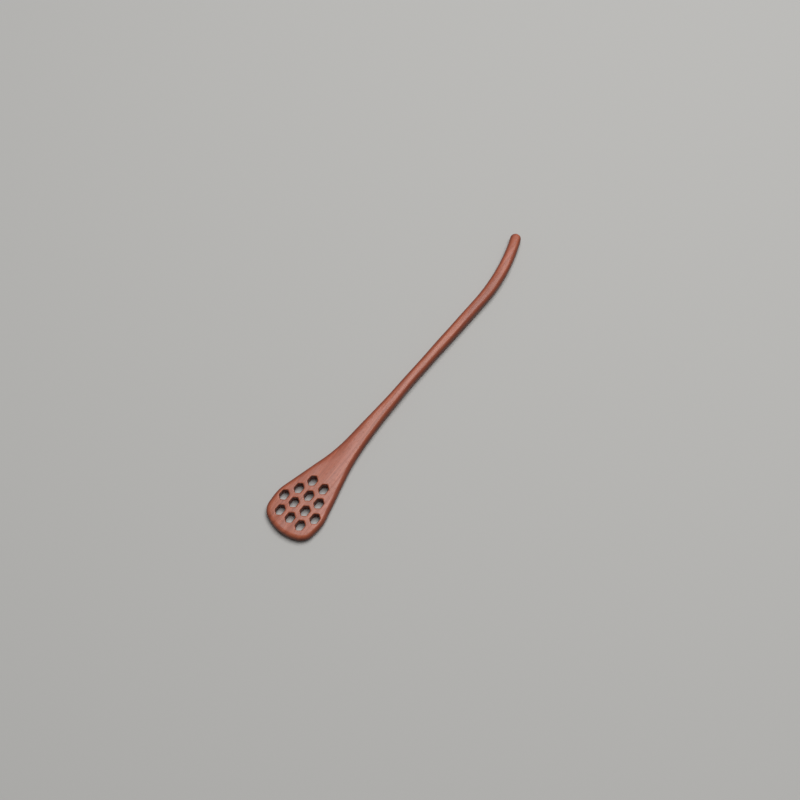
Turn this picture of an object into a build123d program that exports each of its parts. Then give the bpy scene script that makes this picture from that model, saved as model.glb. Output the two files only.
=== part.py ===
from build123d import *
from math import radians, tan
import os

# Honey dipper carved from one piece of wood: a flat paddle pierced by a honeycomb, and a long slim handle
# whose end bends to the left. Millimetres. The origin is on the surface that the dipper lies on, under the
# middle of its length and of its paddle's width. +X runs along the paddle's centre line towards the end of
# the handle, and +Z is up.

# Overall sizes
overall_length = 200.0
paddle_width = 28.4  # between the shoulders, before they are rounded
handle_thickness = 6.1
tip_thickness = 4.9

# Corners of the outline seen from above, before they are rounded. A setback is measured from the tip
front_setback = 4.6
front_width = 26.4
front_radius = 7.5
shoulder_setback = 15.6
shoulder_radius = 20.0
neck_setback = 48.7
neck_width = 10.6
neck_shift = -0.14  # to the left
neck_radius = 127.0
waist_setback = 83.3
waist_width = 5.6
waist_shift = 0.48
waist_radius = 443.0

# Rounded end of the handle, and the straight run on each side that leads to it from the bend
end_width = 5.8
end_thickness = 5.0
end_sweep = 7.0  # how far its middle lies to the left of the centre line
end_turn = 21.0  # degrees that it has turned by
left_run = 21.9
left_bend_radius = 113.0
right_run = 23.3
right_bend_radius = 95.0

# The most that the rounding of a corner may take of the shorter run beside it: shoulder, neck, waist, bend
corner_shares = (0.5, 0.31, 0.67, 0.96)

# Rounding of the long edges, and the most that it may take of the thinnest wall
top_edge_radius = 2.0
bottom_edge_radius = 1.7
top_edge_share = 0.52
bottom_edge_share = 0.42

# Top of the dipper at places along the paddle, the neck and the handle, each place as a share of the run
# from the shoulder to the neck corner, on to the waist corner, or on to the bend. Each has its height as a
# share of the handle's thickness, and its crown above the flanks as a share of half the width there
paddle_shares = ((0.0, 0.848, 0.00), (0.74, 0.918, 0.03))
neck_shares = ((0.25, 0.97, 0.12), (0.75, 1.00, 0.22))
handle_shares = ((0.16, 1.00, 0.26), (0.52, 1.00, 0.26), (0.86, 0.99, 0.26), (1.06, 0.95, 0.26))
end_crown_share = 0.26

# Honeycomb cells, longer than they are wide, in staggered rows across the paddle
cells_in_row = (3, 4, 3, 2)
web_width = 2.3  # wood between two cells of a row
edge_margin = 2.6  # wood outside the widest row
centre_gap = 0.7  # how much wider a web on the centre line is
cell_length = 5.8
cell_corner_radius = 0.35
rim_depth = 0.25  # how far down the broken rims reach
rim_slope = 45.0  # degrees
first_row_setback = 8.1
row_pitch = 6.85
hexagon_side_share = 0.5  # the sides beside the neighbouring cells, of the cell's length

cut_overrun = 1.0

# Positions along the dipper
tip_x = -overall_length / 2
end_x = overall_length / 2
front_x = tip_x + front_setback
shoulder_x = tip_x + shoulder_setback
neck_x = tip_x + neck_setback
waist_x = tip_x + waist_setback
above = handle_thickness + cut_overrun

# Rounded end
end_radius = end_width / 2
end_along = Vector(1, 0).rotate(Axis.Z, end_turn)
end_across = Vector(0, 1).rotate(Axis.Z, end_turn)
end_centre = Vector(end_x - end_radius, end_sweep)
left_end = end_centre + end_across * end_radius
right_end = end_centre - end_across * end_radius
left_bend = left_end - end_along * left_run
right_bend = right_end - end_along * right_run

# Honeycomb across the paddle
widest_row = max(cells_in_row)
cell_pitch = (paddle_width - 2 * edge_margin - centre_gap + web_width) / widest_row
cell_width = cell_pitch - web_width


def side_corners(side, bend, end):
    """Corners of one long side of the outline, from the tip to the end; side is 1 on the left."""
    return [
        Vector(front_x, side * front_width / 2),
        Vector(shoulder_x, side * paddle_width / 2),
        Vector(neck_x, neck_shift + side * neck_width / 2),
        Vector(waist_x, waist_shift + side * waist_width / 2),
        bend,
        end,
    ]


def corner_rounding(corners, place, radius):
    """Radius at one corner of a long side, kept within the shorter of the two runs that meet there."""
    arriving = corners[place] - corners[place - 1]
    leaving = corners[place + 1] - corners[place]
    reach = min(arriving.length, leaving.length) * corner_shares[place - 1]
    return min(radius, reach / tan(radians(arriving.get_angle(leaving)) / 2))


def top_sections(outline):
    """Place, middle, half width, height and crown of each section of the top, which follows the outline."""
    sections = [(tip_x - cut_overrun, 0, paddle_width / 2, tip_thickness, 0)]
    paddle = (shoulder_x, neck_x, paddle_shares)
    neck = (neck_x, waist_x, neck_shares)
    handle = (waist_x, left_bend.X, handle_shares)
    for start, stop, shares in (paddle, neck, handle):
        for place, height, crown in shares:
            x = start + (stop - start) * place
            chord = outline.intersect(Edge.make_line((x, -paddle_width), (x, paddle_width)))[0]
            half = chord.length / 2
            sections.append((x, chord.center().Y, half, handle_thickness * height, half * crown))
    end_crown = end_radius * end_crown_share
    sections.append((end_x + cut_overrun, end_sweep, end_radius, end_thickness, end_crown))
    return sections


def row_places(count):
    """Places across the paddle of the cells in one row, with a wider web where it is on the centre line."""
    places = []
    for column in range(count):
        steps = column - (count - 1) / 2
        side = (steps > 0) - (steps < 0)
        widening = 0 if count % 2 else side * centre_gap / 2
        places.append(steps * cell_pitch + widening)
    return places


def row_of_cells(row_x, count):
    """One row of cells, seen from above."""
    point = cell_length / 2
    corner = point * hexagon_side_share
    half = cell_width / 2
    hexagon = ((point, 0), (corner, half), (-corner, half), (-point, 0), (-corner, -half), (corner, -half))
    with BuildSketch() as row:
        with Locations(*[(row_x, y) for y in row_places(count)]):
            Polygon(*hexagon, align=None)
        fillet(row.vertices(), cell_corner_radius)
    return row.sketch


with BuildPart() as carved_dipper:
    # Outline seen from above, with its corners rounded
    with BuildSketch() as outline:
        left = side_corners(1, left_bend, left_end)
        right = side_corners(-1, right_bend, right_end)
        with BuildLine():
            ThreePointArc(right[0], (tip_x, 0), left[0])
            Polyline(*left)
            Polyline(*right)
            ThreePointArc(left_end, end_centre + end_along * end_radius, right_end)
        make_face()
        for corners, bend_radius in ((left, left_bend_radius), (right, right_bend_radius)):
            fillet(outline.vertices().sort_by_distance(corners[0])[0], front_radius)
            radii = (shoulder_radius, neck_radius, waist_radius, bend_radius)
            for place, radius in enumerate(radii, 1):
                corner = outline.vertices().sort_by_distance(corners[place])[0]
                fillet(corner, corner_rounding(corners, place, radius))
    extrude(amount=above)

    # Top, flat across the paddle and crowned along the handle
    sections = top_sections(outline.sketch.face())
    for x, middle, half, height, crown in sections:
        with BuildSketch(Plane.YZ.offset(x)):
            with BuildLine():
                left_y = middle - half - cut_overrun
                right_y = middle + half + cut_overrun
                flank = height - crown
                Polyline((left_y, flank), (left_y, -cut_overrun), (right_y, -cut_overrun), (right_y, flank))
                Bezier((right_y, flank), (middle, height + crown), (left_y, flank))
            make_face()
    loft(mode=Mode.INTERSECT)

    # Long edges, rounded within the thinnest wall
    thinnest_wall = min(height - crown for x, middle, half, height, crown in sections)
    top_radius = min(top_edge_radius, thinnest_wall * top_edge_share)
    bottom_radius = min(bottom_edge_radius, thinnest_wall * bottom_edge_share)
    underside, top = carved_dipper.faces().sort_by(SortBy.AREA)[-2:].sort_by(Axis.Z)
    fillet(top.edges(), top_radius)
    underside, top = carved_dipper.faces().sort_by(SortBy.AREA)[-2:].sort_by(Axis.Z)
    fillet(underside.edges(), bottom_radius)

    # Honeycomb through the paddle, row by row, with its upper rims broken by a cut that widens upwards
    for row, count in enumerate(cells_in_row):
        row_x = tip_x + first_row_setback + row * row_pitch
        upright = Edge.make_line((row_x, 0, -cut_overrun), (row_x, 0, above))
        row_top = carved_dipper.part.intersect(upright)[0].bounding_box().max.Z
        with BuildSketch(Plane.XY.offset(-cut_overrun)):
            add(row_of_cells(row_x, count))
        extrude(amount=above + cut_overrun, mode=Mode.SUBTRACT)
        with BuildSketch(Plane.XY.offset(row_top - rim_depth)):
            add(row_of_cells(row_x, count))
        extrude(amount=cut_overrun, taper=-rim_slope, mode=Mode.SUBTRACT)

carved_dipper.part.label = "carved_dipper"
os.makedirs("parts", exist_ok=True)
export_step(carved_dipper.part, "parts/carved_dipper.step")
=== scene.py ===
from math import cos, pi, radians, sin

import bmesh
import bpy
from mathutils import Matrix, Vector, noise
from mathutils.bvhtree import BVHTree


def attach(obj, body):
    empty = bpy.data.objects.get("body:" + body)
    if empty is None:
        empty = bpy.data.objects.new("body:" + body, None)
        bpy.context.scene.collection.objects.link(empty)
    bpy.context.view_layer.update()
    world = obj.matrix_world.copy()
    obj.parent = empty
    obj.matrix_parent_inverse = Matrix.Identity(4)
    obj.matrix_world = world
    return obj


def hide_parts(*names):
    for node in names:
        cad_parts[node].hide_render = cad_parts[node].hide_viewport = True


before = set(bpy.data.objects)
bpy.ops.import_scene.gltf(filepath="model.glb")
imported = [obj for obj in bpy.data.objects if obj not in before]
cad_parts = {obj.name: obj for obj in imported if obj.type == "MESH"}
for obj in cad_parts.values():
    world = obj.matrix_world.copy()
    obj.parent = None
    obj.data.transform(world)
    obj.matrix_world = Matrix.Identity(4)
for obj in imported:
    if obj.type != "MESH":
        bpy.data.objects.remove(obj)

# A carved wooden honey dipper: a flat paddle pierced by a honeycomb of cells, and a slim handle whose end
# bends to the left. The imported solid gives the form. A finely divided copy of it is sanded, carved a little
# uneven by hand, and gets a varnished hardwood that is worked out from its place in the trunk.

bl_info = {
    "name": "Honey dipper",
    "version": (1, 0, 0),
    "blender": (4, 5, 0),
    "location": "3D View > Sidebar > Dipper",
    "description": "Carves a wooden honey dipper around its packed solid and sets the stage for it",
    "category": "Object",
}

NODE = "carved_dipper"
BODY = "root"
PIECE = "varnished_dipper"
MM = 0.001

# Crown of the paddle and the neck along the dipper, from the tip to the handle
SLICE = 1 * MM  # length of the dipper that shares one width and one height
CROWN_STARTS = -96 * MM
CROWN_PEAK = -57 * MM
CROWN_ENDS = -22 * MM
CROWN_AT_TIP = 0.6  # of its depth at the peak

# Rims, in radians that the surface turns by in a millimetre
RIM_TURNING = 0.45  # from here on a rim is sanded once more
BARE_TURNING = 1.2  # at a rim that is rubbed bare

# Walls of the cells
WALL_TILT = 0.55  # the most that a wall's normal rises
FREE_START = 0.05 * MM  # from a wall to the start of the ray across its cell
CELL_REACH = 7.5 * MM  # length of that ray

# Hollows that the knife leaves below a level of the noise, over the surface and in the walls of the cells
HOLLOW_LEVEL = 0.55
HOLLOW_SLIMNESS = 2.2  # how many times longer than wide
WALL_HOLLOW_LEVEL = 0.2
WALL_HOLLOW_LENGTH = 2.6 * MM

# Values that the mesh carries for the wood
SHARPNESS = "sharpness"
SHARPNESS_SPREADING = 2  # how often it is evened out
END_FACING = "end_facing"
# How far the surface faces sideways, which sets the painted shade on the flanks
SIDE_FACING = "side_facing"

# The dipper's place in the trunk, in millimetres from the heart, how the grain leans, and how far the growth
# wanders across the grain, in millimetres
PLACE_IN_TRUNK = (0.0, 21.0, 47.0)
GRAIN_LEAN = (0.0, radians(1.6), radians(-1.2))
WAVINESS = 2.4
ACROSS = (0.0, 1.0, 1.0)  # leaves out what is along the grain
NOISE_MIDDLE = (0.5, 0.5, 0.5)

# How often each pattern of the wood changes in a millimetre along X, Y and Z, with the grain along X
DRIFT = (0.014, 0.055, 0.055)
RING_WAVES = (0.012, 0.16, 0.16)
STREAKS = (0.018, 0.75, 0.75)
FIBRES = (0.11, 4.2, 4.2)
PATCHES = (0.028, 0.07, 0.07)
PORES = (0.36, 4.4, 4.4)
WEAR = (0.35, 0.8, 0.8)
SANDING_MARKS = (0.5, 9.0, 9.0)
FILE_STROKES = (4.5, 4.5, 0.35)

# Where each pattern begins to count, and where it counts in full
STREAK_RANGE = (0.30, 0.70)
FIBRE_RANGE = (0.28, 0.72)
PATCH_RANGE = (0.32, 0.68)
STROKE_RANGE = (0.3, 0.7)
WEAR_RANGE = (0.25, 0.7)
RUBBED_RANGE = (0.18, 0.95)
END_GRAIN_RANGE = (0.45, 0.98)
# Where the painted shade on the flanks begins, and where it is full, by how far they face sideways
FLANK_MASK_RANGE = (0.16, 0.66)

# Growth rings
RING_WAVE_YEARS = 1.6
SUMMER = (0.25, 0.93)  # part of the year in which the wood darkens
WINTER = (0.94, 1.0)  # part of the year in which it turns pale again
RING_STRENGTH = (0.35, 1.0)  # of the faintest year and of the darkest

# Pores: where each begins to fade from its middle outwards and where it ends, the share of them that is
# closed in spring wood, and how many more are closed in summer wood
PORE_RANGE = (0.16, 0.30)
CLOSED_PORES = 0.42
CLOSED_IN_SUMMER = 0.35

# Heights of the grain and of the tools' marks, in parts of the depth of a pore
FIBRE_HEIGHT = 0.6
RING_HEIGHT = 0.35
SANDING_HEIGHT = 0.25
STROKE_HEIGHT = 2.0

# Strength of the edge wear where hands rubbed least and where they rubbed most
WEAR_STRENGTH = (0.35, 1.25)

# Varnished wood: the share that each tint takes, then the roughness, then the weight of the varnish
PATCH_TINT = 0.55
RING_TINT = 0.42
STREAK_TINT = 0.34
FIBRE_BRIGHTNESS = (0.86, 1.10)
PORE_TINT = 0.55
END_GRAIN_TINT = 0.38
# Painted shade: the flanks that face sideways are darkened towards the dark colour
PAINTED_FLANK_SHADE = 0.70
WORN_TINT = 0.30
SMOOTH_ROUGHNESS = 0.48
FIBRE_ROUGHNESS = 0.10
PORE_ROUGHNESS = 0.18
END_GRAIN_ROUGHNESS = 0.12
VARNISH_WEIGHT = (0.56, 0.42)  # between the streaks and on them
VARNISH_RUBBED_OFF = -0.22
VARNISH_OVER_PORES = -0.20
VARNISH_ON_SIDES = -0.22

# Cut wood of the cells' walls, coloured darker than the top: partly painted shade inside the cells, partly
# the marks of the file
CUT_RING_TINT = 0.30
# Darkness of the walls off and on the file strokes; the darkness that all of the wall gets is painted shade
# inside the cells
WALL_SHADE_AND_STROKES = (0.40, 0.72)
CUT_PORE_TINT = 0.6
CUT_WORN_TINT = 0.35
STROKE_ROUGHNESS = (0.52, 0.68)

# Stage, in metres; the lamp's tilt is from the vertical
FLOOR_RADIUS = 0.7
FLOOR_SIDES = 96
LAMP_SIZE = 1.2
LAMP_DISTANCE = 1.6
LAMP_AZIMUTH = radians(7)
LAMP_TILT = radians(17)
SENSOR_WIDTH = 36.0
CAMERA_TARGET = Vector((-0.01098, -0.00189, 0.0))

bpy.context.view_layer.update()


class DipperForm(bpy.types.PropertyGroup):
    """How the solid is cut, sanded and left uneven by hand."""

    cell_size: bpy.props.FloatProperty(
        name="Cut size",
        description="Size of the faces that the solid is cut into before it is sanded",
        default=0.2 * MM,
        min=0.15 * MM,
        unit="LENGTH",
    )
    kept_share: bpy.props.FloatProperty(
        name="Kept faces",
        description="Share of the fine faces that is kept, most of them where the surface turns",
        default=0.45,
        min=0.05,
        max=1,
        subtype="FACTOR",
    )
    sanding: bpy.props.IntProperty(
        name="Sanding", description="How often the whole surface is smoothed", default=2, min=0
    )
    rim_sanding: bpy.props.IntProperty(
        name="Rim sanding", description="How often the sharp rims are smoothed", default=1, min=0
    )
    carving_depth: bpy.props.FloatProperty(
        name="Carving depth",
        description="How far the knife left hollows in the surface",
        default=0.14 * MM,
        unit="LENGTH",
    )
    carving_length: bpy.props.FloatProperty(
        name="Carving length",
        description="Length of one hollow along the grain",
        default=13 * MM,
        unit="LENGTH",
    )
    crown_depth: bpy.props.FloatProperty(
        name="Crown",
        description="How far the top is sanded down towards the sides where the paddle meets the neck",
        default=0.5 * MM,
        unit="LENGTH",
    )
    cell_depth: bpy.props.FloatProperty(
        name="Cell unevenness",
        description="How uneven the walls of the cells are",
        default=0.16 * MM,
        unit="LENGTH",
    )


class DipperWood(bpy.types.PropertyGroup):
    """Colours and grain of the wood and its finish."""

    pale_wood: bpy.props.FloatVectorProperty(
        name="Pale wood",
        description="Colour of the wood that grew in spring",
        default=(0.46, 0.128, 0.072),
        size=3,
        min=0,
        max=1,
        subtype="COLOR",
    )
    # Besides the growth lines and the end grain, this colour is painted as shade on the flanks that face
    # sideways and, in part, on the walls of the cells
    dark_wood_and_shade: bpy.props.FloatVectorProperty(
        name="Dark wood",
        description="Colour of the lines between two years of growth, and of the end and side grain",
        default=(0.215, 0.050, 0.028),
        size=3,
        min=0,
        max=1,
        subtype="COLOR",
    )
    orange_wood: bpy.props.FloatVectorProperty(
        name="Orange wood",
        description="Colour of the warmer patches",
        default=(0.42, 0.112, 0.044),
        size=3,
        min=0,
        max=1,
        subtype="COLOR",
    )
    pore_colour: bpy.props.FloatVectorProperty(
        name="Pores",
        description="Colour of the open pores",
        default=(0.070, 0.018, 0.012),
        size=3,
        min=0,
        max=1,
        subtype="COLOR",
    )
    worn_colour: bpy.props.FloatVectorProperty(
        name="Worn edges",
        description="Colour of edges that hands have rubbed",
        default=(0.46, 0.17, 0.095),
        size=3,
        min=0,
        max=1,
        subtype="COLOR",
    )
    ring_spacing: bpy.props.FloatProperty(
        name="Ring spacing", description="Growth in a year", default=1.7 * MM, unit="LENGTH"
    )


class DipperStage(bpy.types.PropertyGroup):
    """Floor, light and camera."""

    floor_colour: bpy.props.FloatVectorProperty(
        name="Floor",
        description="Colour of the floor",
        default=(0.52, 0.515, 0.50),
        size=3,
        min=0,
        max=1,
        subtype="COLOR",
    )
    backdrop_colour: bpy.props.FloatVectorProperty(
        name="Backdrop",
        description="Colour seen beyond the floor",
        default=(0.40, 0.397, 0.388),
        size=3,
        min=0,
        max=1,
        subtype="COLOR",
    )
    bounce_colour: bpy.props.FloatVectorProperty(
        name="Floor's bounce",
        description="Colour of the floor for the light that it throws back on the dipper",
        default=(0.12, 0.12, 0.12),
        size=3,
        min=0,
        max=1,
        subtype="COLOR",
    )
    azimuth: bpy.props.FloatProperty(
        name="Azimuth",
        description="Direction of the camera round the dipper",
        default=radians(-141.3),
        unit="ROTATION",
    )
    elevation: bpy.props.FloatProperty(
        name="Elevation",
        description="Height of the camera over the floor",
        default=radians(68.0),
        unit="ROTATION",
    )
    distance: bpy.props.FloatProperty(
        name="Distance", description="From the camera to the dipper", default=568.5 * MM, unit="LENGTH"
    )
    focal_length: bpy.props.FloatProperty(
        name="Focal length", description="Focal length of the camera", default=51.39, unit="CAMERA"
    )
    key_share: bpy.props.FloatProperty(
        name="Key light",
        description="Share of the light that the lamp gives",
        default=0.91,
        min=0,
        max=1,
        subtype="FACTOR",
    )


def feed(tree, node, inputs):
    """Give the inputs of a node their values, or the sockets that feed them."""
    for name, value in inputs.items():
        if isinstance(value, bpy.types.NodeSocket):
            tree.links.new(value, node.inputs[name])
        else:
            node.inputs[name].default_value = value


def new_node(tree, kind, inputs=None, **settings):
    """Add a shader node with its settings and inputs."""
    node = tree.nodes.new(kind)
    for name, value in settings.items():
        setattr(node, name, value)
    feed(tree, node, inputs or {})
    return node


def maths(tree, operation, *values):
    """Socket with the result of a sum on numbers."""
    return new_node(tree, "ShaderNodeMath", dict(enumerate(values)), operation=operation).outputs[0]


def weighted_sum(tree, start, *terms):
    """Socket with a start value plus each value of the terms times its weight."""
    total = start
    for value, weight in terms:
        total = maths(tree, "MULTIPLY_ADD", value, weight, total)
    return total


def vector_maths(tree, operation, inputs):
    """Node for a sum on vectors."""
    return new_node(tree, "ShaderNodeVectorMath", inputs, operation=operation)


def stretch(tree, position, scale):
    """Socket with a position scaled along the three axes."""
    return vector_maths(tree, "MULTIPLY", {0: position, 1: scale}).outputs[0]


def cloudy(tree, position, scale, detail=2.0, roughness=0.5):
    """Outputs of a noise on a position scaled along the three axes."""
    place = stretch(tree, position, scale)
    inputs = {"Vector": place, "Scale": 1.0, "Detail": detail, "Roughness": roughness}
    return new_node(tree, "ShaderNodeTexNoise", inputs).outputs


def spread(tree, value, low, high, to_low=0.0, to_high=1.0):
    """Socket with a value spread smoothly from one range to another."""
    inputs = {"Value": value, "From Min": low, "From Max": high, "To Min": to_low, "To Max": to_high}
    return new_node(tree, "ShaderNodeMapRange", inputs, interpolation_type="SMOOTHSTEP").outputs["Result"]


def blend_colours(tree, factor, first, second):
    """Socket with two colours blended."""
    inputs = {0: factor, 6: first, 7: second}
    return new_node(tree, "ShaderNodeMix", inputs, data_type="RGBA", clamp_factor=True).outputs[2]


def rgba(colour):
    """A colour with full alpha."""
    return (*colour, 1.0)


def tinted(tree, colour, mask, share, tint):
    """Socket with a colour that takes a share of a tint where a mask is full."""
    return blend_colours(tree, maths(tree, "MULTIPLY", mask, share), colour, rgba(tint))


def seen_ray(tree):
    """Socket that is 1 for what the camera sees, directly or in a reflection."""
    ray = new_node(tree, "ShaderNodeLightPath").outputs
    mirrored = maths(tree, "MAXIMUM", ray["Is Glossy Ray"], ray["Is Transmission Ray"])
    return maths(tree, "MAXIMUM", ray["Is Camera Ray"], mirrored)


def new_group(name, inputs, outputs):
    """Shader node group with named sockets, and its two end nodes."""
    group = bpy.data.node_groups.new(name, "ShaderNodeTree")
    for label, kind in inputs:
        group.interface.new_socket(label, in_out="INPUT", socket_type=kind)
    for label in outputs:
        group.interface.new_socket(label, in_out="OUTPUT", socket_type="NodeSocketFloat")
    return group, group.nodes.new("NodeGroupInput"), group.nodes.new("NodeGroupOutput")


def growth_rings(group, bent, ring_spacing):
    """Socket with the dark line of each year's growth round the heart of the trunk."""
    radius = vector_maths(group, "LENGTH", {0: stretch(group, bent, ACROSS)}).outputs["Value"]
    years = maths(group, "DIVIDE", radius, ring_spacing)
    waves = cloudy(group, bent, RING_WAVES, detail=3.0)["Fac"]
    years = weighted_sum(group, years, (waves, RING_WAVE_YEARS))
    season = maths(group, "FRACT", years)
    year = maths(group, "FLOOR", years)
    chance = new_node(group, "ShaderNodeTexWhiteNoise", {"W": year}, noise_dimensions="1D").outputs["Value"]
    summer = spread(group, season, *SUMMER)
    winter = spread(group, season, *WINTER, 1.0, 0.0)
    strength = spread(group, chance, 0.0, 1.0, *RING_STRENGTH)
    return maths(group, "MULTIPLY", maths(group, "MULTIPLY", summer, winter), strength)


def open_pores(group, bent, rings):
    """Socket with the short dark dashes of the pores along the grain, more of them in the spring wood."""
    inputs = {"Vector": stretch(group, bent, PORES), "Scale": 1.0, "Randomness": 1.0}
    places = new_node(group, "ShaderNodeTexVoronoi", inputs).outputs
    dashes = spread(group, places["Distance"], *PORE_RANGE, 1.0, 0.0)
    chance = new_node(group, "ShaderNodeSeparateColor", {0: places["Color"]}).outputs[0]
    closed = weighted_sum(group, CLOSED_PORES, (rings, CLOSED_IN_SUMMER))
    return maths(group, "MULTIPLY", dashes, maths(group, "GREATER_THAN", chance, closed))


def wood_figure():
    """Growth rings, fibres, pores and patches of a hardwood, on a position in millimetres, grain along X."""
    group, given, result = new_group(
        "Wood figure",
        (
            ("Position", "NodeSocketVector"),
            ("Ring Spacing", "NodeSocketFloat"),
            ("Waviness", "NodeSocketFloat"),
        ),
        ("Rings", "Streaks", "Fibres", "Pores", "Patches", "Relief"),
    )
    place = given.outputs["Position"]

    # The trunk's wavy growth bends the rings and the fibres
    drift = cloudy(group, place, DRIFT)["Color"]
    centred = vector_maths(group, "SUBTRACT", {0: drift, 1: NOISE_MIDDLE}).outputs[0]
    across = stretch(group, centred, ACROSS)
    wave = vector_maths(group, "SCALE", {0: across, "Scale": given.outputs["Waviness"]}).outputs[0]
    bent = vector_maths(group, "ADD", {0: place, 1: wave}).outputs[0]

    rings = growth_rings(group, bent, given.outputs["Ring Spacing"])
    streaks = cloudy(group, bent, STREAKS, detail=3.0, roughness=0.55)["Fac"]
    fibres = cloudy(group, bent, FIBRES, detail=3.0, roughness=0.6)["Fac"]
    patches = cloudy(group, place, PATCHES)["Fac"]
    pores = open_pores(group, bent, rings)
    outputs = {
        "Rings": rings,
        "Streaks": spread(group, streaks, *STREAK_RANGE),
        "Fibres": spread(group, fibres, *FIBRE_RANGE),
        "Pores": pores,
        "Patches": spread(group, patches, *PATCH_RANGE),
        "Relief": weighted_sum(group, 0.0, (fibres, FIBRE_HEIGHT), (rings, RING_HEIGHT), (pores, -1.0)),
    }
    feed(group, result, outputs)
    return group


def rubbed_edges():
    """Where hands have rubbed the finish off the edges, from how sharply the surface turns."""
    group, given, result = new_group(
        "Rubbed edges",
        (("Position", "NodeSocketVector"), ("Sharpness", "NodeSocketFloat")),
        ("Rubbed",),
    )
    patches = cloudy(group, given.outputs["Position"], WEAR, detail=3.0)["Fac"]
    strength = spread(group, patches, *WEAR_RANGE, *WEAR_STRENGTH)
    uneven = maths(group, "MULTIPLY", given.outputs["Sharpness"], strength)
    feed(group, result, {"Rubbed": spread(group, uneven, *RUBBED_RANGE)})
    return group


def carried(tree, name):
    """Socket with a value that the mesh carries."""
    return new_node(tree, "ShaderNodeAttribute", attribute_name=name).outputs["Fac"]


def wood_position(tree):
    """Socket with the place in the trunk, in millimetres from its heart."""
    place = new_node(tree, "ShaderNodeTexCoord").outputs["Object"]
    scale = (1 / MM, 1 / MM, 1 / MM)
    inputs = {"Vector": place, "Location": PLACE_IN_TRUNK, "Rotation": GRAIN_LEAN, "Scale": scale}
    return new_node(tree, "ShaderNodeMapping", inputs, vector_type="POINT").outputs["Vector"]


def start_material(name):
    """Empty material with a Principled shader, and its tree."""
    material = bpy.data.materials.new(name)
    material.use_nodes = True
    tree = material.node_tree
    return material, tree, tree.nodes["Principled BSDF"]


def wood_effects(tree, wood, figure, rubbing):
    """Place in the trunk, outputs of the wood's figure and mask of the rubbed edges, in a material."""
    place = wood_position(tree)
    inputs = {"Position": place, "Ring Spacing": wood.ring_spacing / MM, "Waviness": WAVINESS}
    grain = new_node(tree, "ShaderNodeGroup", inputs, node_tree=figure).outputs
    inputs = {"Position": place, "Sharpness": carried(tree, SHARPNESS)}
    rubbed = new_node(tree, "ShaderNodeGroup", inputs, node_tree=rubbing).outputs["Rubbed"]
    return place, grain, rubbed


def varnished_wood(wood, figure, rubbing):
    """Sanded hardwood under a thin satin varnish, with painted shade darkening the flanks that face sideways.
    """
    material, tree, shader = start_material("Varnished wood")
    place, grain, rubbed = wood_effects(tree, wood, figure, rubbing)
    end_grain = spread(tree, carried(tree, END_FACING), *END_GRAIN_RANGE)
    flank_mask = spread(tree, carried(tree, SIDE_FACING), *FLANK_MASK_RANGE)

    colour = tinted(tree, rgba(wood.pale_wood), grain["Patches"], PATCH_TINT, wood.orange_wood)
    darkness = weighted_sum(tree, 0.0, (grain["Rings"], RING_TINT), (grain["Streaks"], STREAK_TINT))
    colour = blend_colours(tree, darkness, colour, rgba(wood.dark_wood_and_shade))
    brightness = spread(tree, grain["Fibres"], 0.0, 1.0, *FIBRE_BRIGHTNESS)
    colour = vector_maths(tree, "SCALE", {0: colour, "Scale": brightness}).outputs[0]
    colour = tinted(tree, colour, grain["Pores"], PORE_TINT, wood.pore_colour)
    colour = tinted(tree, colour, end_grain, END_GRAIN_TINT, wood.dark_wood_and_shade)
    # Painted shade: the flanks that face sideways darken towards the dark colour
    colour = tinted(tree, colour, flank_mask, PAINTED_FLANK_SHADE, wood.dark_wood_and_shade)
    colour = tinted(tree, colour, rubbed, WORN_TINT, wood.worn_colour)

    roughness = weighted_sum(
        tree,
        SMOOTH_ROUGHNESS,
        (grain["Fibres"], FIBRE_ROUGHNESS),
        (grain["Pores"], PORE_ROUGHNESS),
        (end_grain, END_GRAIN_ROUGHNESS),
    )
    varnish = weighted_sum(
        tree,
        spread(tree, grain["Streaks"], 0.0, 1.0, *VARNISH_WEIGHT),
        (rubbed, VARNISH_RUBBED_OFF),
        (grain["Pores"], VARNISH_OVER_PORES),
        (flank_mask, VARNISH_ON_SIDES),
    )
    marks = cloudy(tree, place, SANDING_MARKS, roughness=0.7)["Fac"]
    height = weighted_sum(tree, grain["Relief"], (marks, SANDING_HEIGHT))
    bump = new_node(tree, "ShaderNodeBump", {"Height": height, "Strength": 0.35, "Distance": 0.05 * MM})
    inputs = {
        "Base Color": colour,
        "Roughness": roughness,
        "IOR": 1.45,
        "Specular IOR Level": 0.12,
        "Coat Weight": maths(tree, "MAXIMUM", varnish, 0.0),
        "Coat Roughness": 0.26,
        "Normal": bump.outputs["Normal"],
    }
    feed(tree, shader, inputs)
    return material


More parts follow.
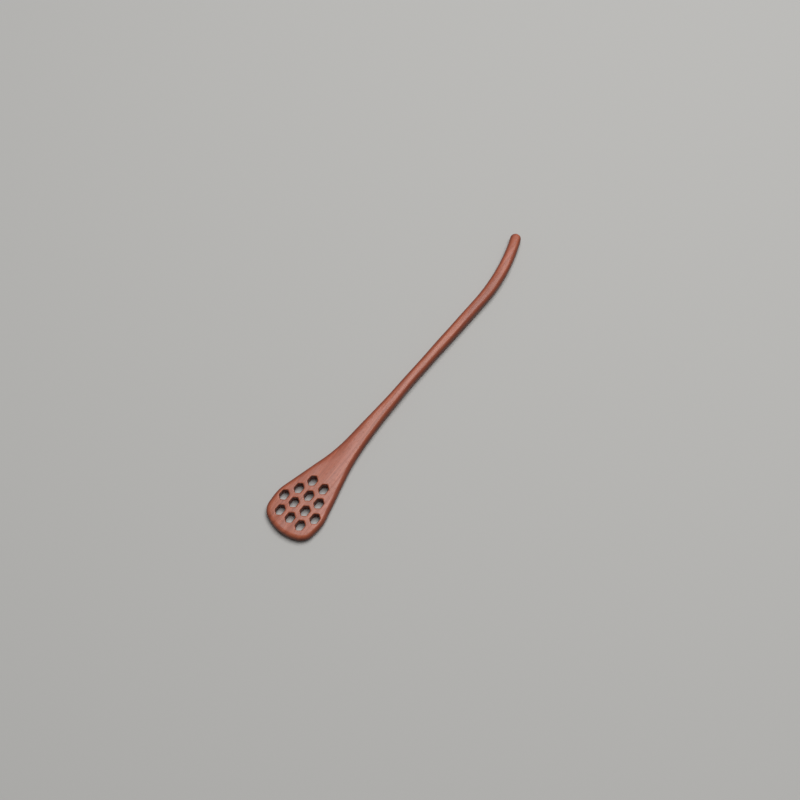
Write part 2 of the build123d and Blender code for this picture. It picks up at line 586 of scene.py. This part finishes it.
def cut_wood(wood, figure, rubbing):
    """Walls of the cells, sawn and filed down through the paddle and thinly varnished, and darkened by
    painted shade inside the cells and by the file strokes.
    """
    material, tree, shader = start_material("Cut wood")
    place, grain, rubbed = wood_effects(tree, wood, figure, rubbing)
    strokes = cloudy(tree, place, FILE_STROKES, roughness=0.65)["Fac"]

    # Painted shade inside the cells, made uneven by the file strokes
    darkness = spread(tree, strokes, *STROKE_RANGE, *WALL_SHADE_AND_STROKES)
    darkness = weighted_sum(tree, darkness, (grain["Rings"], CUT_RING_TINT))
    colour = blend_colours(tree, darkness, rgba(wood.orange_wood), rgba(wood.dark_wood_and_shade))
    colour = tinted(tree, colour, grain["Pores"], CUT_PORE_TINT, wood.pore_colour)
    colour = tinted(tree, colour, rubbed, CUT_WORN_TINT, wood.worn_colour)

    height = weighted_sum(tree, grain["Relief"], (strokes, STROKE_HEIGHT))
    bump = new_node(tree, "ShaderNodeBump", {"Height": height, "Strength": 0.5, "Distance": 0.08 * MM})
    inputs = {
        "Base Color": colour,
        "Roughness": spread(tree, strokes, *STROKE_RANGE, *STROKE_ROUGHNESS),
        "Specular IOR Level": 0.25,
        "Coat Weight": 0.08,
        "Coat Roughness": 0.35,
        "Normal": bump.outputs["Normal"],
    }
    feed(tree, shader, inputs)
    return material


def finished(mesh, kind, **settings):
    """Copy of a mesh with one modifier applied, in place of the mesh."""
    blank = bpy.data.objects.new("blank", mesh)
    bpy.context.scene.collection.objects.link(blank)
    modifier = blank.modifiers.new("Cut", kind)
    for name, value in settings.items():
        setattr(modifier, name, value)
    evaluated = blank.evaluated_get(bpy.context.evaluated_depsgraph_get())
    done = bpy.data.meshes.new_from_object(evaluated)
    bpy.data.objects.remove(blank)
    bpy.data.meshes.remove(mesh)
    return done


def cut_fine(node, size):
    """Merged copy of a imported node's mesh, cut into small even faces."""
    bm = bmesh.new()
    bm.from_mesh(node.data)
    bmesh.ops.remove_doubles(bm, verts=bm.verts, dist=0.001 * MM)
    merged = bpy.data.meshes.new("merged")
    bm.to_mesh(merged)
    bm.free()
    return finished(merged, "REMESH", mode="VOXEL", voxel_size=size)


def thinned(mesh, share):
    """The same surface with fewer faces where it turns little."""
    return finished(mesh, "DECIMATE", ratio=share)


def turning(vert):
    """How sharply the surface turns outwards at a vertex, in radians a millimetre."""
    total = 0.0
    for edge in vert.link_edges:
        run = edge.other_vert(vert).co - vert.co
        total -= run.dot(vert.normal) / run.length_squared
    return 2 * total / len(vert.link_edges) * MM


def spread_values(bm, layer, times):
    """Even out a value on the vertices with that of their neighbours."""
    for _ in range(times):
        means = []
        for vert in bm.verts:
            ring = [edge.other_vert(vert)[layer] for edge in vert.link_edges]
            means.append((vert[layer] + sum(ring)) / (1 + len(ring)))
        for vert, mean in zip(bm.verts, means):
            vert[layer] = mean


def sand(bm, verts, times):
    """Smooth vertices like sandpaper."""
    for _ in range(times):
        bmesh.ops.smooth_vert(bm, verts=verts, factor=0.5, use_axis_x=True, use_axis_y=True, use_axis_z=True)
    bm.normal_update()


def smooth_step(value, low, high):
    """Share from 0 to 1 that rises smoothly between two values."""
    share = min(max((value - low) / (high - low), 0.0), 1.0)
    return share * share * (3 - 2 * share)


def crown_top(bm, depth):
    """Sand the top of the paddle and the neck down towards their sides, so that it is slightly crowned."""
    slices = {}
    for vert in bm.verts:
        low, high, top = slices.get(round(vert.co.x / SLICE), (0.0, 0.0, 0.0))
        y, z = vert.co.yz
        slices[round(vert.co.x / SLICE)] = (min(low, y), max(high, y), max(top, z))
    for vert in bm.verts:
        low, high, top = slices[round(vert.co.x / SLICE)]
        aside = (2 * vert.co.y - low - high) / (high - low)
        rise = smooth_step(vert.co.z / top, 0.0, 1.0)
        along = smooth_step(vert.co.x, CROWN_STARTS, CROWN_PEAK) * (1 - CROWN_AT_TIP) + CROWN_AT_TIP
        along *= 1 - smooth_step(vert.co.x, CROWN_PEAK, CROWN_ENDS)
        vert.co.z -= depth * along * aside * aside * rise


def soften_rims(bm, times):
    """Sand the vertices where the surface turns sharply."""
    sand(bm, [vert for vert in bm.verts if abs(turning(vert)) > RIM_TURNING], times)


def cell_walls(bm):
    """Faces of the cell walls: a ray from each meets the wall across the cell."""
    tree = BVHTree.FromBMesh(bm)
    walls = []
    for face in bm.faces:
        if abs(face.normal.z) < WALL_TILT:
            start = face.calc_center_median() + face.normal * FREE_START
            if tree.ray_cast(start, face.normal, CELL_REACH)[0]:
                walls.append(face)
    return walls


def hollow_out(bm, walls, form):
    """Leave shallow hollows of the knife in the surface, and shorter ones in the walls of the cells."""
    wall_verts = {vert for face in walls for vert in face.verts}
    moves = []
    for vert in bm.verts:
        if vert in wall_verts:
            depth = form.cell_depth
            hollow = noise.noise(vert.co / WALL_HOLLOW_LENGTH) - WALL_HOLLOW_LEVEL
        else:
            depth = form.carving_depth
            place = vert.co / form.carving_length
            place = Vector((place.x, place.y * HOLLOW_SLIMNESS, place.z * HOLLOW_SLIMNESS))
            hollow = noise.noise(place) - HOLLOW_LEVEL
        moves.append(vert.normal * min(hollow, 0.0) * depth)
    for vert, move in zip(bm.verts, moves):
        vert.co += move


def mark_surface(bm):
    """Give each vertex its sharpness, and how far the surface faces along the grain and to the side."""
    sharpness = bm.verts.layers.float.new(SHARPNESS)
    for vert in bm.verts:
        vert[sharpness] = max(turning(vert), 0.0) / BARE_TURNING
    spread_values(bm, sharpness, SHARPNESS_SPREADING)
    end_facing = bm.verts.layers.float.new(END_FACING)
    side_facing = bm.verts.layers.float.new(SIDE_FACING)
    for vert in bm.verts:
        vert[end_facing] = abs(vert.normal.x)
        vert[side_facing] = abs(vert.normal.y)


class DIPPER_OT_carve(bpy.types.Operator):
    """Carve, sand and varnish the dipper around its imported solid"""

    bl_idname = "dipper.carve"
    bl_label = "Carve the dipper"

    def execute(self, context):
        mesh = self.carve(context.scene.dipper_form)
        piece = bpy.data.objects.new(PIECE, mesh)
        mesh.name = PIECE
        context.scene.collection.objects.link(piece)
        wood = context.scene.dipper_wood
        figure = wood_figure()
        rubbing = rubbed_edges()
        mesh.materials.clear()
        mesh.materials.append(varnished_wood(wood, figure, rubbing))
        mesh.materials.append(cut_wood(wood, figure, rubbing))
        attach(piece, BODY)
        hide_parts(NODE)
        return {"FINISHED"}

    def carve(self, form):
        """Mesh of the dipper, with the second material on the walls of its cells."""
        mesh = cut_fine(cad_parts[NODE], form.cell_size)
        bm = bmesh.new()
        bm.from_mesh(mesh)
        crown_top(bm, form.crown_depth)
        sand(bm, bm.verts, form.sanding)
        soften_rims(bm, form.rim_sanding)
        walls = cell_walls(bm)
        if not walls:
            raise RuntimeError("No cell was found in the paddle")
        for face in walls:
            face.material_index = 1
        hollow_out(bm, walls, form)
        sand(bm, bm.verts, 1)
        mark_surface(bm)
        for face in bm.faces:
            face.smooth = True
        bm.to_mesh(mesh)
        bm.free()
        return thinned(mesh, form.kept_share)


def aim(placed, target, azimuth, elevation, distance):
    """Put a lamp or a camera in a direction from a target, and turn it to face the target."""
    level = cos(elevation)
    direction = Vector((level * cos(azimuth), level * sin(azimuth), sin(elevation)))
    placed.location = target + direction * distance
    placed.rotation_euler = direction.to_track_quat("Z", "Y").to_euler()


class DIPPER_OT_stage(bpy.types.Operator):
    """Lay a pale floor and set up the lamp, the surrounding light and the camera"""

    bl_idname = "dipper.stage"
    bl_label = "Set the stage"

    def execute(self, context):
        stage = context.scene.dipper_stage
        self.lay_floor(context, stage)
        self.light(context, stage)
        self.place_camera(context, stage)
        context.scene.view_settings.view_transform = "Standard"
        return {"FINISHED"}

    def lay_floor(self, context, stage):
        """Round pale floor that still takes the dipper's shadow."""
        bm = bmesh.new()
        bmesh.ops.create_circle(bm, cap_ends=True, segments=FLOOR_SIDES, radius=FLOOR_RADIUS)
        mesh = bpy.data.meshes.new("floor")
        bm.to_mesh(mesh)
        bm.free()
        floor = bpy.data.objects.new("floor", mesh)
        context.scene.collection.objects.link(floor)
        material, tree, shader = start_material("Pale floor")
        colour = blend_colours(tree, seen_ray(tree), rgba(stage.bounce_colour), rgba(stage.floor_colour))
        feed(tree, shader, {"Base Color": colour, "Roughness": 0.9, "Specular IOR Level": 0.1})
        mesh.materials.append(material)

    def light(self, context, stage):
        """One large soft lamp overhead, leaning towards the end of the handle, and an even fill."""
        lamp = bpy.data.lights.new("softbox", "AREA")
        lamp.shape = "DISK"
        lamp.size = LAMP_SIZE
        # With the full share of the light, this power would show a white floor as white
        lamp.energy = stage.key_share * (pi * LAMP_DISTANCE) ** 2 / cos(LAMP_TILT)
        softbox = bpy.data.objects.new("softbox", lamp)
        context.scene.collection.objects.link(softbox)
        aim(softbox, Vector(), LAMP_AZIMUTH, pi / 2 - LAMP_TILT, LAMP_DISTANCE)
        world = bpy.data.worlds.new("studio")
        world.use_nodes = True
        tree = world.node_tree
        fill = 1 - stage.key_share
        colour = blend_colours(tree, seen_ray(tree), rgba((fill, fill, fill)), rgba(stage.backdrop_colour))
        feed(tree, tree.nodes["Background"], {"Color": colour})
        context.scene.world = world

    def place_camera(self, context, stage):
        """Camera at the photograph's angle, aimed near the middle of the dipper."""
        camera = bpy.data.cameras.new("camera")
        camera.lens = stage.focal_length
        camera.sensor_width = SENSOR_WIDTH
        placed = bpy.data.objects.new("camera", camera)
        context.scene.collection.objects.link(placed)
        aim(placed, CAMERA_TARGET, stage.azimuth, stage.elevation, stage.distance)
        context.scene.camera = placed


class DIPPER_PT_panel(bpy.types.Panel):
    """Panel that lists the steps and their settings"""

    bl_idname = "DIPPER_PT_panel"
    bl_label = "Honey dipper"
    bl_space_type = "VIEW_3D"
    bl_region_type = "UI"
    bl_category = "Dipper"

    def draw(self, context):
        steps = (
            (DIPPER_OT_carve, (context.scene.dipper_form, context.scene.dipper_wood)),
            (DIPPER_OT_stage, (context.scene.dipper_stage,)),
        )
        for operator, groups in steps:
            box = self.layout.box()
            for group in groups:
                for name in group.__annotations__:
                    box.prop(group, name)
            box.operator(operator.bl_idname)


CLASSES = (DipperForm, DipperWood, DipperStage, DIPPER_OT_carve, DIPPER_OT_stage, DIPPER_PT_panel)


def register():
    """Add the classes and the scene's settings."""
    for cls in CLASSES:
        bpy.utils.register_class(cls)
    bpy.types.Scene.dipper_form = bpy.props.PointerProperty(type=DipperForm)
    bpy.types.Scene.dipper_wood = bpy.props.PointerProperty(type=DipperWood)
    bpy.types.Scene.dipper_stage = bpy.props.PointerProperty(type=DipperStage)


def unregister():
    """Remove the scene's settings and the classes."""
    del bpy.types.Scene.dipper_form
    del bpy.types.Scene.dipper_wood
    del bpy.types.Scene.dipper_stage
    for cls in reversed(CLASSES):
        bpy.utils.unregister_class(cls)


def main():
    """Make the dipper and its stage."""
    register()
    bpy.ops.dipper.carve()
    bpy.ops.dipper.stage()


if __name__ == "__main__":
    main()
